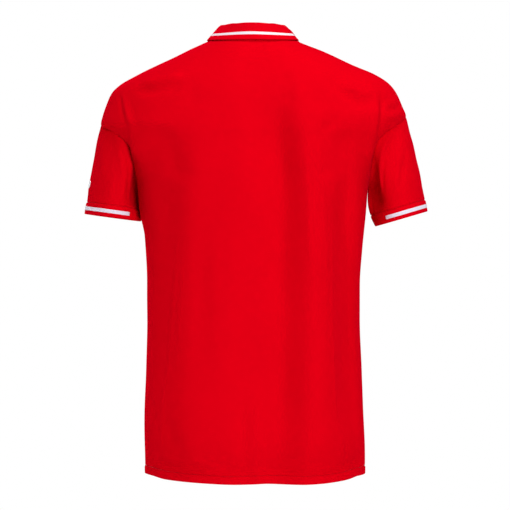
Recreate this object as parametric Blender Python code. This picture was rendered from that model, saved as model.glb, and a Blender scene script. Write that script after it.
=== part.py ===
"""Short-sleeved knitted football jersey, held in its worn form with no wearer inside.

Back and front are two cut panels that lie on one body form, given ring by ring in the body
table. The sleeves are tubes from the armhole seams to the cuffs. The collar is one knitted
strip that stands up from the neckline and turns down over the body.
Lengths in the tables and functions are millimetres, and the meshes are made in metres.
+X is the wearer's left, -Y the front, +Z up. The origin is the middle of the neck, level with
the highest part of the shoulder seams, where the jersey hangs on its wearer.
"""
import math
from collections import namedtuple

import bmesh
import bpy
import numpy as np

MM = 0.001

# ---- cloth ----
WALL = 1.2              # knitted panel
HEM_WALL = 2.2          # panel turned up on itself
COLLAR_WALL = 1.8       # flat-knit collar strip
TRIM_WALL = 0.6         # tapes and the badge
SEAM_GAP = 0.6          # clear space between two pieces along a seam
LIFT = 0.35             # clear space under what lies on a panel

# ---- body: rings from the neck down to the hem ----
Ring = namedtuple("Ring", "height left_width right_width back_depth front_depth squareness")
BODY_RINGS = [Ring(*row) for row in (
    (18, 43, 37, 50, 38, 2.0),
    (4, 71, 63.5, 62, 47, 2.0),
    (-10, 101, 98, 77, 56, 2.0),
    (-25, 132, 132, 87, 60, 2.0),
    (-40, 164, 166, 94, 64, 2.0),
    (-55, 195, 199, 100, 69, 2.05),
    (-70, 221, 222, 105, 74, 2.1),
    (-85, 236, 234, 109, 79, 2.15),
    (-105, 245, 243, 113, 87, 2.15),
    (-123, 251, 249, 116, 95, 2.2),
    (-137, 254, 243, 118, 101, 2.25),
    (-150, 241, 229, 120, 106, 2.3),
    (-165, 226, 214, 121, 111, 2.35),
    (-185, 209, 202, 123, 117, 2.45),
    (-210, 195, 192, 125, 122, 2.55),
    (-236, 188, 187, 126, 125, 2.6),
    (-280, 184.5, 183, 127, 128, 2.55),
    (-340, 179.5, 177, 127, 128, 2.5),
    (-400, 176, 173, 126, 127, 2.45),
    (-455, 176, 173, 125, 125, 2.45),
    (-535, 178, 176, 125, 124, 2.45),
    (-605, 180, 178.5, 126, 124, 2.45),
    (-680, 181, 181.5, 126, 124, 2.45),
    (-735, 180, 180.5, 125, 123, 2.45),
)]

# ---- cut lines on the body ----
HEM_SIDE = -711.0
HEM_DROP = 8.0          # how much lower the hem hangs at the middle than at the sides
HEM_FOLD = 14.5         # width of the turned-up hem
HEM_STEP = 2.0          # over which the doubled cloth ends
NECK_SIDE = 4.0         # height of the neckline at the shoulder seams
NECK_BACK = -1.0
NECK_FRONT = -95.0      # bottom of the V
SHOULDER_NECK_Y = -8.0  # the shoulder seam runs a little in front of the ridge
SHOULDER_TIP_Y = -10.0
UNDERARM = -236.0
ARMHOLE_DEPTH = 57.0    # half the armhole, front to back
ARMHOLE_CROWN = 0.62    # below 1 the armhole is flatter over the arm than under it
V_FULLNESS = 0.94       # below 1 the edges of the V bow outwards
V_DROP = 1.12           # above 1 the V falls more slowly from the shoulder

# ---- sleeves ----
Sleeve = namedtuple("Sleeve", "name side seam_top cuff_x cuff_height half_width tilt lean tuck")
SLEEVES = [Sleeve(*row) for row in (
    ("left", 1, -137.0, 235.0, -289.5, 46.0, 7.6, 10.6, 2.0),
    ("right", -1, -123.0, 242.0, -291.5, 43.8, 16.3, 12.8, 6.5),
)]
CUFF_Y = -4.0
CUFF_HALF_DEPTH = 64.0
SLEEVE_SWELL = 6.0      # how far the sleeve rounds out between its seam and its cuff
SLEEVE_HEM = 20.0
TAPE_EDGE = 6.5         # bare cloth between the cuff and the white tape
TAPE_WIDTH = 6.0
TAPE_HALF_SPAN = 130.0  # degrees each way from the outside of the arm, short of the underarm
SLEEVE_RISE = (0.156, 0.273, 0.45, 0.63, 0.82, 1.0)     # rows from the hem up to the armhole
BADGE_SPAN = (-26.0, 26.0)      # degrees round the left sleeve, between its first two rows

# ---- collar: stations from the bottom of the V (0) round to the middle of the back (1) ----
Station = namedtuple("Station", "place stand rise reach lift bow")
COLLAR_STATIONS = [Station(*row) for row in (
    (0.00, 6, 25, 60, 3.0, 1.5),
    (0.20, 9, 50, 50, 3.0, 1.5),
    (0.42, 16, 84, 27, 2.6, 1.2),
    (0.58, 23, 121, 7.5, 2.2, 0.4),
    (0.72, 26.4, 124, 9, 2.2, -0.4),
    (1.00, 25.8, 101, 5.5, 2.4, -1.0),
)]
COLLAR_UPRIGHT = (0.3, 0.6)     # places between which the strip turns from lying to standing
ROLL_RADIUS = 3.2

# ---- largest folds, as soft troughs ----
Fold = namedtuple("Fold", "panel top_x top_height low_x low_height half_width depth")
FOLDS = [Fold(*row) for row in (
    ("back", -58, -180, -60, -690, 26, 6.0),
    ("back", -22, -120, -52, -330, 30, 3.0),
    ("back", -136, -230, -152, -640, 24, 6.0),
    ("back", 130, -200, 152, -620, 24, 6.0),
    ("back", 20, -260, 12, -690, 26, 3.0),
    ("back", 80, -260, 84, -560, 26, 2.5),
    ("back", 150, -150, 118, -230, 20, 3.5),
    ("back", -150, -150, -118, -225, 20, 3.5),
    ("front", 50, -250, 62, -690, 28, 6.0),
    ("front", -66, -230, -50, -680, 28, 5.0),
    ("front", 138, -220, 150, -640, 24, 6.0),
    ("front", -138, -230, -150, -620, 24, 6.0),
    ("front", 150, -150, 112, -235, 20, 4.0),
    ("front", -150, -150, -112, -235, 20, 4.0),
)]
FOLD_END = 0.35         # share of a fold's length over which it fades
SEAM_MARGIN = 3.0       # grid steps over which folds die out before a seam

# ---- mesh density ----
NECK_STEPS_BACK = 6
NECK_STEPS_FRONT = 8
SHOULDER_STEPS = 8
ARMHOLE_STEPS = 11
SIDE_STEPS = 14         # hem to underarm, the hem's own two steps included
LEVEL_STEPS = 8         # steps above the hem that stay level across a panel
HEM_ROWS = 3
RELAX_ROUNDS = 400
UPRIGHT_PULL = 0.22     # how strongly a point follows its neighbours up and down
DENSE = 400             # points on a curve before it is spaced evenly

RED = (0.70, 0.004, 0.010)
WHITE = (0.86, 0.86, 0.88)


# ---- small tools ----
def smooth_read(rows, column, place):
    """A column's value on a smooth curve through the rows, with no overshoot."""
    table = sorted((row[0], getattr(row, column)) for row in rows)
    places, values = np.array(table, dtype=float).T
    rises = np.diff(values) / np.diff(places)
    before, after = rises[:-1], rises[1:]
    same_way = before * after > 0
    inner = np.where(same_way, 2 * before * after / np.where(same_way, before + after, 1), 0)
    tangents = np.concatenate([rises[:1], inner, rises[-1:]])
    place = np.clip(np.asarray(place, dtype=float), places[0], places[-1])
    i = np.clip(np.searchsorted(places, place) - 1, 0, len(places) - 2)
    step = places[i + 1] - places[i]
    t = (place - places[i]) / step
    return hermite(t, values[i], step * tangents[i], values[i + 1], step * tangents[i + 1])


def hermite(t, start, leave, end, arrive):
    """Cubic between two values, leaving and arriving with the given slopes."""
    return ((1 + 2 * t) * (1 - t) ** 2 * start + t * (1 - t) ** 2 * leave
            + t * t * (3 - 2 * t) * end - t * t * (1 - t) * arrive)


def smooth_step(value):
    value = np.clip(value, 0, 1)
    return value * value * (3 - 2 * value)


def unit(vectors):
    return vectors / np.maximum(np.linalg.norm(vectors, axis=-1, keepdims=True), 1e-9)


def running_length(curve):
    return np.concatenate([[0], np.cumsum(np.linalg.norm(np.diff(curve, axis=0), axis=1))])


def points_at(curve, places):
    """Points at given lengths along a dense curve."""
    lengths = running_length(curve)
    return np.stack([np.interp(places, lengths, curve[:, k]) for k in range(3)], axis=1)


def even_points(curve, steps):
    return points_at(curve, np.linspace(0, running_length(curve)[-1], steps + 1))


# ---- body form ----
def ring_sizes(x, y, z):
    """Half-width, half-depth and squareness of the body's ring on the side of a point."""
    width = np.where(x >= 0, smooth_read(BODY_RINGS, "left_width", z),
                     smooth_read(BODY_RINGS, "right_width", z))
    depth = np.where(y >= 0, smooth_read(BODY_RINGS, "back_depth", z),
                     smooth_read(BODY_RINGS, "front_depth", z))
    return width, depth, smooth_read(BODY_RINGS, "squareness", z)


def onto_body(points):
    """Points moved level onto the body form."""
    x, y, z = points[..., 0], points[..., 1], points[..., 2]
    width, depth, power = ring_sizes(x, y, z)
    level = (np.abs(x / width) ** power + np.abs(y / depth) ** power) ** (1 / power)
    return np.stack([x / level, y / level, z], axis=-1)


def out_from_body(points):
    """How far each point lies outside the body form, measured level."""
    form = onto_body(points)
    return np.linalg.norm(points[..., :2], axis=-1) - np.linalg.norm(form[..., :2], axis=-1)


def body_normal(points):
    """Outward direction of the body form, the way its distance grows fastest."""
    shifts = 0.5 * np.eye(3)
    slope = [out_from_body(points + shift) - out_from_body(points - shift) for shift in shifts]
    return unit(np.stack(slope, axis=-1))


def at_depth(side, y, z):
    """The point of the body form at a depth and height, on one side."""
    y = np.asarray(y, dtype=float)
    width, depth, power = ring_sizes(side * np.ones_like(y), y, z)
    x = width * (1 - np.abs(y / depth) ** power) ** (1 / power)
    return np.stack([side * x, y, z * np.ones_like(y)], axis=-1)


# ---- cut lines ----
def side_heights():
    """Heights up the side seam: the hem's fold, then even steps to the underarm."""
    fold_top = HEM_SIDE + HEM_FOLD + HEM_STEP
    rest = np.linspace(fold_top, UNDERARM, SIDE_STEPS - 1)
    return np.concatenate([[HEM_SIDE, HEM_SIDE + HEM_FOLD], rest])


def middle_heights(top):
    """Heights up the middle of a panel: level with the side seam, then closing on the top."""
    level = side_heights()[:HEM_ROWS + LEVEL_STEPS - 2] - HEM_DROP
    rows_left = SIDE_STEPS + ARMHOLE_STEPS + 1 - len(level)
    climb = np.linspace(0, 1, rows_left + 1)[1:]
    way = top - level[-1]
    first_share = (level[-1] - level[-2]) / way * rows_left
    eased = first_share * climb + (1 - first_share) * climb ** 1.6
    return np.concatenate([level, level[-1] + way * eased])


def side_seam(side):
    z = side_heights()
    return at_depth(side, np.zeros_like(z), z)


def armhole(sleeve, way):
    """The armhole from the underarm to the shoulder tip, over the back (1) or front (-1)."""
    turn = np.linspace(math.pi, 0, DENSE)
    share = (1 + np.cos(turn)) / 2
    y = SHOULDER_TIP_Y * share + way * ARMHOLE_DEPTH * np.sin(turn)
    z = UNDERARM + (sleeve.seam_top - UNDERARM) * share ** ARMHOLE_CROWN
    return even_points(at_depth(sleeve.side, y, z), ARMHOLE_STEPS)


def shoulder_seam(sleeve):
    z = np.linspace(NECK_SIDE, sleeve.seam_top, DENSE)
    y = np.linspace(SHOULDER_NECK_Y, SHOULDER_TIP_Y, DENSE)
    return even_points(at_depth(sleeve.side, y, z), SHOULDER_STEPS)


def neck_back(side):
    """The back neckline, from the middle to the shoulder seam."""
    end = at_depth(side, SHOULDER_NECK_Y, NECK_SIDE)
    depth = float(smooth_read(BODY_RINGS, "back_depth", NECK_BACK))
    angle = np.linspace(0, math.pi / 2, DENSE)
    x = end[0] * np.sin(angle)
    y = SHOULDER_NECK_Y + (depth - SHOULDER_NECK_Y) * np.cos(angle)
    z = NECK_BACK + (NECK_SIDE - NECK_BACK) * np.sin(angle) ** 2
    return even_points(onto_body(np.stack([x, y, z], axis=-1)), NECK_STEPS_BACK)


def neck_front(side):
    """The V, from its bottom up to the shoulder seam."""
    end = at_depth(side, SHOULDER_NECK_Y, NECK_SIDE)
    share = np.linspace(0, 1, DENSE)
    x = np.abs(end[0]) * share ** V_FULLNESS
    z = NECK_FRONT + (NECK_SIDE - NECK_FRONT) * share ** V_DROP
    width, depth, power = ring_sizes(side * np.ones(DENSE), -np.ones(DENSE), z)
    y = -depth * (1 - np.minimum(x / width, 1) ** power) ** (1 / power)
    curve = np.stack([side * x, y, z], axis=-1)
    curve[-1] = end
    return even_points(curve, NECK_STEPS_FRONT)


# ---- panels ----
def hem_rows(sleeve, way, columns):
    """The hem and its fold: rings that hang lower at the middle."""
    turn = np.linspace(0, math.pi / 2, DENSE)
    rows = []
    for height in side_heights()[:HEM_ROWS]:
        z = height - HEM_DROP * np.cos(turn) ** 2
        ring = np.stack([sleeve.side * np.sin(turn), way * np.cos(turn), z], axis=-1)
        rows.append(even_points(onto_body(ring), columns - 1))
    return np.array(rows)


def half_panel(sleeve, way):
    """Grid [row up][column from the middle to the side] on the body form."""
    neck = neck_back(sleeve.side) if way > 0 else neck_front(sleeve.side)
    top = np.vstack([neck, shoulder_seam(sleeve)[1:]])
    edge = np.vstack([side_seam(sleeve.side), armhole(sleeve, way)[1:]])
    z = middle_heights(top[0, 2])
    depth = smooth_read(BODY_RINGS, "back_depth" if way > 0 else "front_depth", z)
    middle = np.stack([np.zeros_like(z), way * depth, z], axis=-1)
    middle[-1] = top[0]
    rows, columns = len(edge), len(top)
    hem = hem_rows(sleeve, way, columns)
    share = np.linspace(0, 1, rows - HEM_ROWS + 1)[1:, None, None]
    grid = np.concatenate([hem, (1 - share) * hem[-1] + share * top])
    grid[:, 0], grid[:, -1], grid[-1] = middle, edge, top
    for _ in range(RELAX_ROUNDS):
        upright = grid[HEM_ROWS - 1:-2, 1:-1] + grid[HEM_ROWS + 1:, 1:-1]
        across = grid[HEM_ROWS:-1, :-2] + grid[HEM_ROWS:-1, 2:]
        mean = (upright * UPRIGHT_PULL + across) / (2 + 2 * UPRIGHT_PULL)
        grid[HEM_ROWS:-1, 1:-1] = onto_body(mean)
    return grid


def fold_depth(points, panel):
    """How deep the folds press each point in."""
    total = np.zeros(points.shape[:-1])
    for fold in FOLDS:
        if fold.panel == panel:
            run = (points[..., 2] - fold.top_height) / (fold.low_height - fold.top_height)
            slope = (fold.low_x - fold.top_x) / (fold.low_height - fold.top_height)
            middle = fold.top_x + (fold.low_x - fold.top_x) * run
            across = (points[..., 0] - middle) * math.cos(math.atan(slope)) / fold.half_width
            ends = smooth_step(run / FOLD_END + 0.4) * smooth_step((1 - run) / FOLD_END + 0.4)
            total += fold.depth * np.exp(-across ** 2) * ends
    return total


def panel_grid(panel):
    """The whole back or front, side to side, with its folds."""
    way = 1 if panel == "back" else -1
    left, right = (half_panel(sleeve, way) for sleeve in SLEEVES)
    grid = np.concatenate([right[:, :0:-1], left], axis=1)
    rows, columns = np.indices(grid.shape[:2])
    from_side = np.minimum(columns, grid.shape[1] - 1 - columns)
    from_top = grid.shape[0] - 1 - rows
    fade = smooth_step(from_side / SEAM_MARGIN) * smooth_step(from_top / SEAM_MARGIN)
    return grid - body_normal(grid) * (fold_depth(grid, panel) * fade)[..., None]


# ---- sleeves ----
def sleeve_grid(sleeve):
    """Grid [row from armhole to cuff][column once round from the shoulder tip over the back]."""
    loop = np.vstack([armhole(sleeve, 1)[::-1], armhole(sleeve, -1)[1:-1]])
    turns = np.linspace(0, 2 * math.pi, len(loop), endpoint=False)
    tilt, lean = math.radians(sleeve.tilt), math.radians(sleeve.lean)
    outward = np.array([sleeve.side * math.cos(tilt), 0, math.sin(tilt)])
    backward = np.array([0, 1.0, 0])
    down = np.array([sleeve.side * math.sin(lean), 0, -math.cos(lean)])
    centre = np.array([sleeve.side * sleeve.cuff_x, CUFF_Y, sleeve.cuff_height])
    t = np.linspace(0, 1, DENSE)[:, None]
    columns = []
    for start, turn in zip(loop, turns):
        end = (centre + sleeve.half_width * math.cos(turn) * outward
               + CUFF_HALF_DEPTH * math.sin(turn) * backward)
        length = np.linalg.norm(end - start)
        leave = 0.6 * (end - start) + 0.4 * length * down
        curve = hermite(t, start, leave, end, length * down)
        outer = smooth_step((math.cos(turn) + 1) / 0.9) * (0.35 + 0.65 * math.sin(turn) ** 2)
        inner = sleeve.tuck * smooth_step(-math.cos(turn))
        swell = SLEEVE_SWELL * outer * np.sin(math.pi * t ** 0.75) + inner * np.sin(math.pi * t)
        curve = curve + swell * (math.cos(turn) * outward + math.sin(turn) * backward)
        whole = running_length(curve)[-1]
        hem_top = SLEEVE_HEM + HEM_STEP
        from_cuff = [0, TAPE_EDGE, TAPE_EDGE + TAPE_WIDTH, SLEEVE_HEM, hem_top]
        from_cuff += [hem_top + (whole - hem_top) * share for share in SLEEVE_RISE]
        columns.append(points_at(curve, whole - np.array(from_cuff[::-1])))
    return np.stack(columns, axis=1)


# ---- collar ----
def neckline():
    """The whole neckline, from the V up its right side, round the back and down the left."""
    left, right = (neck_front(sleeve.side) for sleeve in SLEEVES)
    back_left, back_right = (neck_back(sleeve.side) for sleeve in SLEEVES)
    return np.vstack([right, back_right[-2::-1], back_left[1:], left[-2::-1]])


def collar_grid():
    """Grid [row from the seam to the free edge][column along the neckline]."""
    line = neckline()
    lengths = running_length(line)
    normals = body_normal(line)
    outwards = unit(np.cross(np.gradient(line, axis=0), normals))
    outwards *= np.sign(outwards[len(line) // 2, 1])
    columns = []
    for seam, normal, outward, length in zip(line, normals, outwards, lengths):
        place = 1 - abs(2 * length / lengths[-1] - 1)
        stand, rise, reach, lift, bow = (float(smooth_read(COLLAR_STATIONS, column, place))
                                         for column in Station._fields[1:])
        first, last = COLLAR_UPRIGHT
        upright = float(smooth_step((place - first) / (last - first)))
        level_out = unit(outward * np.array([1, 1, 0]))
        out_way = unit(outward * (1 - upright) + level_out * upright)
        up_way = unit(normal * (1 - upright) + np.array([0, 0, 1.0]) * upright)
        rise = math.radians(rise)
        way = unit(math.cos(rise) * out_way + math.sin(rise) * up_way)
        clear = (COLLAR_WALL / 2 + LIFT) * (1 - upright)
        foot = seam + way * 1.5 * SEAM_GAP + normal * clear
        top = foot + way * stand
        edge = onto_body(seam + outward * reach)
        edge = edge + body_normal(edge) * lift
        down = unit(edge - top)
        turn = down - way * (down @ way)
        radius = min(ROLL_RADIUS, 0.3 * stand)
        turn = unit(turn) * radius * min(1, 1.5 * np.linalg.norm(turn))
        shoulder = top + turn + down * radius * 0.4
        points = [foot, foot + way * (stand - radius) * 0.5, foot + way * (stand - radius),
                  top - way * radius * 0.25 + turn * 0.35, shoulder]
        for share in (0.36, 0.7, 1.0):
            out = normal * bow * 4 * share * (1 - share)
            points.append(shoulder + (edge - shoulder) * share + out)
        columns.append(points)
    return np.stack(columns, axis=1)


# ---- walls ----
def grid_normals(grid, closed):
    """Normals of a grid, from its own rows and columns."""
    if closed:
        across = np.roll(grid, -1, axis=1) - np.roll(grid, 1, axis=1)
    else:
        across = np.gradient(grid, axis=1)
    return unit(np.cross(across, np.gradient(grid, axis=0)))


def sleeve_normals(grid):
    """A sleeve's normals, turned away from its middle line."""
    normal = grid_normals(grid, True)
    outward = np.sum(normal * (grid - grid.mean(axis=1, keepdims=True)))
    return normal * np.sign(outward)


def share_seam_normals(panels, sleeves):
    """Give each armhole point the mean of the body's normal and the sleeve's there."""
    def place(point):
        return tuple(np.round(point, 2))

    own = {place(point): way for grid, normal in sleeves for point, way in zip(grid[0], normal[0])}
    shared = {}
    for grid, normal in panels:
        for cell in np.ndindex(grid.shape[:2]):
            key = place(grid[cell])
            if key in own:
                shared[key] = normal[cell] = unit(own[key] + normal[cell])
    for grid, normal in sleeves:
        for column, point in enumerate(grid[0]):
            normal[0, column] = shared[place(point)]


def drawn_back(grid, seams):
    """The grid with its seam edges drawn back from their neighbours by half the gap."""
    drawn = grid.copy()
    for edge, inside in seams:
        drawn[edge] += unit(grid[inside] - grid[edge]) * SEAM_GAP / 2
    return drawn


def closed_wall(outer, inner, ring):
    """Points and triangles of the wall between two grids; a ring's columns join up."""
    rows, columns = outer.shape[:2]
    index = np.arange(rows * columns).reshape(rows, columns)
    if ring:
        index = np.hstack([index, index[:, :1]])
    far = index + rows * columns
    quads = []
    for row in range(rows - 1):
        for column in range(index.shape[1] - 1):
            a, b = index[row, column:column + 2]
            c, d = index[row + 1, column:column + 2]
            quads += [(a, b, d, c), (far[row, column], far[row + 1, column],
                                     far[row + 1, column + 1], far[row, column + 1])]
    for near, away in ((index[0], far[0]), (far[-1], index[-1])):
        quads += list(zip(near[:-1], away[:-1], away[1:], near[1:]))
    if not ring:
        for near, away in ((far[:, 0], index[:, 0]), (index[:, -1], far[:, -1])):
            quads += list(zip(near[:-1], away[:-1], away[1:], near[1:]))
    points = np.concatenate([outer.reshape(-1, 3), inner.reshape(-1, 3)])
    triangles = [half for a, b, c, d in quads for half in ((a, b, c), (a, c, d))]
    return points, [tuple(int(corner) for corner in half) for half in triangles]


def solid(name, outer, inner, ring, finish):
    """One object from the closed wall between two grids."""
    points, triangles = closed_wall(outer, inner, ring)
    mesh = bpy.data.meshes.new(name)
    mesh.from_pydata((points * MM).tolist(), [], triangles)
    work = bmesh.new()
    work.from_mesh(mesh)
    bmesh.ops.recalc_face_normals(work, faces=work.faces)
    work.to_mesh(mesh)
    work.free()
    mesh.materials.append(finish)
    mesh.shade_smooth()
    mesh.set_sharp_from_angle(angle=math.radians(50))
    made = bpy.data.objects.new(name, mesh)
    bpy.context.scene.collection.objects.link(made)


def material(name, colour, roughness):
    made = bpy.data.materials.new(name)
    made.use_nodes = True
    shader = made.node_tree.nodes["Principled BSDF"]
    shader.inputs["Base Color"].default_value = (*colour, 1)
    shader.inputs["Roughness"].default_value = roughness
    shader.inputs["Metallic"].default_value = 0
    made.diffuse_color = (*colour, 1)
    return made


# ---- pieces ----
def make_panel(name, grid, normal, finish):
    """Back or front, thicker where the hem is turned up."""
    wall = np.full((len(grid), 1, 1), WALL)
    wall[:HEM_ROWS - 1] = HEM_WALL
    top, left, right = (-1,), (slice(None), 0), (slice(None), -1)
    outer = drawn_back(grid, ((top, (-2,)), (left, (slice(None), 1)), (right, (slice(None), -2))))
    solid(name, outer, outer - normal * wall, False, finish)


def make_sleeve(name, grid, normal, finish):
    """A sleeve, thicker where its hem is turned up."""
    wall = np.full((len(grid), 1, 1), WALL)
    wall[-4:] = HEM_WALL
    outer = drawn_back(grid, (((0,), (1,)),))
    solid(name, outer, outer - normal * wall, True, finish)


def make_trim(name, grid, normal, rows, span, finish):
    """A strip on a sleeve, made from the sleeve's own points moved out."""
    around = grid.shape[1]
    first, last = (int(round(angle / 360 * around)) for angle in span)
    picked = np.arange(first, last + 1) % around
    base = grid[rows][:, picked] + normal[rows][:, picked] * LIFT
    solid(name, base + normal[rows][:, picked] * TRIM_WALL, base, False, finish)


def make_collar(name, finish):
    grid = collar_grid()
    grid = drawn_back(grid, (((slice(None), 0), (slice(None), 1)),
                             ((slice(None), -1), (slice(None), -2))))
    half = grid_normals(grid, False) * COLLAR_WALL / 2
    solid(name, grid + half, grid - half, False, finish)


def main():
    for old in list(bpy.data.objects):
        bpy.data.objects.remove(old, do_unlink=True)
    red = material("red_knit", RED, 0.6)
    red_rib = material("red_collar_knit", RED, 0.7)
    white = material("white_trim", WHITE, 0.6)
    panels = []
    for name in ("back", "front"):
        grid = panel_grid(name)
        panels.append((grid, body_normal(grid)))
    sleeves = []
    for sleeve in SLEEVES:
        grid = sleeve_grid(sleeve)
        sleeves.append((grid, sleeve_normals(grid)))
    share_seam_normals(panels, sleeves)
    make_panel("back", *panels[0], red)
    make_panel("front", *panels[1], red)
    tape_rows, badge_rows = slice(-3, -1), slice(-7, -5)
    tape_span = (-TAPE_HALF_SPAN, TAPE_HALF_SPAN)
    for sleeve, (grid, normal) in zip(SLEEVES, sleeves):
        make_sleeve("sleeve_" + sleeve.name, grid, normal, red)
        make_trim("tape_" + sleeve.name, grid, normal, tape_rows, tape_span, white)
    make_trim("sleeve_badge", *sleeves[0], badge_rows, BADGE_SPAN, white)
    make_collar("collar", red_rib)


main()
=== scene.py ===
"""Looks of the short-sleeved football jersey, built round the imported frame.

The body form, cut lines, sleeves and collar are the ones that the frame's solids were made
from, at a finer step, so every shell lies on its solid's form. Creases, seams, hems, stitches,
the knit and the collar's white stripe are added here.
Lengths in the tables and functions are millimetres, and the meshes are made in metres.
+X is the wearer's left, -Y the front, +Z up. The origin is the middle of the neck.
"""
import math
from collections import namedtuple

import bmesh
import bpy
import numpy as np
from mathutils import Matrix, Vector


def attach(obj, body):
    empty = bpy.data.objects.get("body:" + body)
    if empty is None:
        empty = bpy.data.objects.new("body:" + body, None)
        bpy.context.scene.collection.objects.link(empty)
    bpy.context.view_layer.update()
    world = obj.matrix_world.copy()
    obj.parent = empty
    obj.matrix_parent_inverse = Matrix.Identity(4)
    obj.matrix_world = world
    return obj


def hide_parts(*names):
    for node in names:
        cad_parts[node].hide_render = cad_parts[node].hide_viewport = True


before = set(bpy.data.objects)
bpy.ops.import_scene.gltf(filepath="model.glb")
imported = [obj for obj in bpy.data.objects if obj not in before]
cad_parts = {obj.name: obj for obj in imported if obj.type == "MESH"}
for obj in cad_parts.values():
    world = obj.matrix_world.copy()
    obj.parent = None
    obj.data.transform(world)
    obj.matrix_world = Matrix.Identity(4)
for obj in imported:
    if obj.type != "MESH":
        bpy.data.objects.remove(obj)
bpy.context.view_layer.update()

MM = 0.001

# ---- cloth ----
WALL = 1.0              # knitted panel
HEM_WALL = 2.0          # panel turned up on itself
COLLAR_WALL = 1.8       # flat-knit collar strip
TAPE_WALL = 0.45
SEAM_GAP = 0.16         # clear space between two pieces along a seam
SEAM_SINK = 0.3         # how deep a seam draws the cloth in
SEAM_REACH = 1.4        # how far from the seam the cloth is drawn in
LIFT = 0.1              # clear space under what lies on a sleeve
ROUND_SHARE = 0.46      # an edge's radius, as a share of the thickness
TRIM_ROUND = 1.6        # a tape's edge rounds over this many times its wall

# ---- body: rings from the neck down to the hem ----
Ring = namedtuple("Ring", "height left_width right_width back_depth front_depth squareness")
BODY_RINGS = [Ring(*row) for row in (
    (18, 43, 37, 50, 38, 2.0),
    (4, 71, 63.5, 62, 47, 2.0),
    (-10, 101, 98, 77, 56, 2.0),
    (-25, 132, 132, 87, 60, 2.0),
    (-40, 164, 166, 94, 64, 2.0),
    (-55, 195, 199, 100, 69, 2.05),
    (-70, 221, 222, 105, 74, 2.1),
    (-85, 236, 234, 109, 79, 2.15),
    (-105, 245, 243, 113, 87, 2.15),
    (-123, 251, 249, 116, 95, 2.2),
    (-137, 254, 243, 118, 101, 2.25),
    (-150, 241, 229, 120, 106, 2.3),
    (-165, 226, 214, 121, 111, 2.35),
    (-185, 209, 202, 123, 117, 2.45),
    (-210, 195, 192, 125, 122, 2.55),
    (-236, 188, 187, 126, 125, 2.6),
    (-280, 184.5, 183, 127, 128, 2.55),
    (-340, 179.5, 177, 127, 128, 2.5),
    (-400, 176, 173, 126, 127, 2.45),
    (-455, 176, 173, 125, 125, 2.45),
    (-535, 178, 176, 125, 124, 2.45),
    (-605, 180, 178.5, 126, 124, 2.45),
    (-680, 181, 181.5, 126, 124, 2.45),
    (-735, 180, 180.5, 125, 123, 2.45),
)]

# ---- cut lines on the body ----
HEM_SIDE = -711.0
HEM_DROP = 8.0          # how much lower the hem hangs at the middle than at the sides
NECK_SIDE = 4.0         # height of the neckline at the shoulder seams
NECK_BACK = -1.0
NECK_FRONT = -95.0      # bottom of the V
SHOULDER_NECK_Y = -8.0  # the shoulder seam runs a little in front of the ridge
SHOULDER_TIP_Y = -10.0
UNDERARM = -236.0
ARMHOLE_DEPTH = 57.0    # half the armhole, front to back
ARMHOLE_CROWN = 0.62    # below 1 the armhole is flatter over the arm than under it
V_FULLNESS = 0.94       # below 1 the edges of the V bow outwards
V_DROP = 1.12           # above 1 the V falls more slowly from the shoulder

# ---- hems: rows up from the folded edge ----
HEM_HEIGHTS = (0, 0.15, 0.5, 1.1, 3, 5.5, 8, 10.5, 12.2, 13.0, 13.6, 14.2, 15.0, 15.8, 16.6)
HEM_STITCH = 13.6       # the stitch line, in a small groove
HEM_STEP = (14.4, 16.2) # over which the doubled cloth ends
HEM_PROUD = 1.0         # how far the doubled cloth stands out
GROOVE_DEPTH = 2.1
GROOVE_HALF_WIDTH = 1.2

HemPoint = namedtuple("HemPoint", "x rise")
HEM_LINE = [HemPoint(*row) for row in (     # how the hem strays from its curve
    (180, 1.0), (165, -0.2), (152, -1.0), (105, -0.8), (60, -0.5), (20, 0.0), (-14, 1.0),
    (-45, -0.6), (-94, -2.2), (-121, -2.8), (-148, -2.4), (-159, -1.8), (-175, -0.2),
)]
HEM_LINE_FADE = 60.0    # height over which the straying dies out
Dip = namedtuple("Dip", "height below above depth")     # its middle and its width each way
BLOUSE = Dip(20.0, 4.5, 14.0, 3.6)              # the cloth dips above the hem
TUCK_IN = Dip(18.0, math.inf, 34.0, 10.0)       # and its last hand turns in a little

# ---- sleeves ----
Sleeve = namedtuple("Sleeve", "name side seam_top cuff_x cuff_height half_width tilt lean tuck")
SLEEVES = [Sleeve(*row) for row in (
    ("left", 1, -137.0, 235.0, -289.5, 46.0, 7.6, 10.6, 2.0),
    ("right", -1, -123.0, 242.0, -291.5, 43.8, 16.3, 12.8, 6.5),
)]
CUFF_Y = -4.0           # the cuff's middle, and half its size front to back
CUFF_HALF_DEPTH = 64.0
SLEEVE_SWELL = 6.0      # how far the sleeve rounds out between its seam and its cuff
SLEEVE_PULL = (0.6, 0.4)    # how far it leaves its seam straight for the cuff, and downwards
OUTER_SWELL = (0.9, 0.35, 0.75)     # the swell's fade round the arm, its least, and its lean up
CUFF_HEIGHTS = (0, 0.15, 0.5, 1.1, 2.6, 4.6, 6.4, 8, 9.6, 11.2, 12.6, 14.4, 16.4, 18.2, 19.2,
                19.9, 20.6, 21.4, 22.4)
CUFF_STITCH = 19.9
CUFF_STEP = (20.6, 22.4)
TAPE_EDGE = 6.5         # bare cloth between the cuff and the white tape
TAPE_WIDTH = 6.0
TAPE_HALF_SPAN = 130.0  # degrees each way from the outside of the arm, short of the underarm

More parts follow.
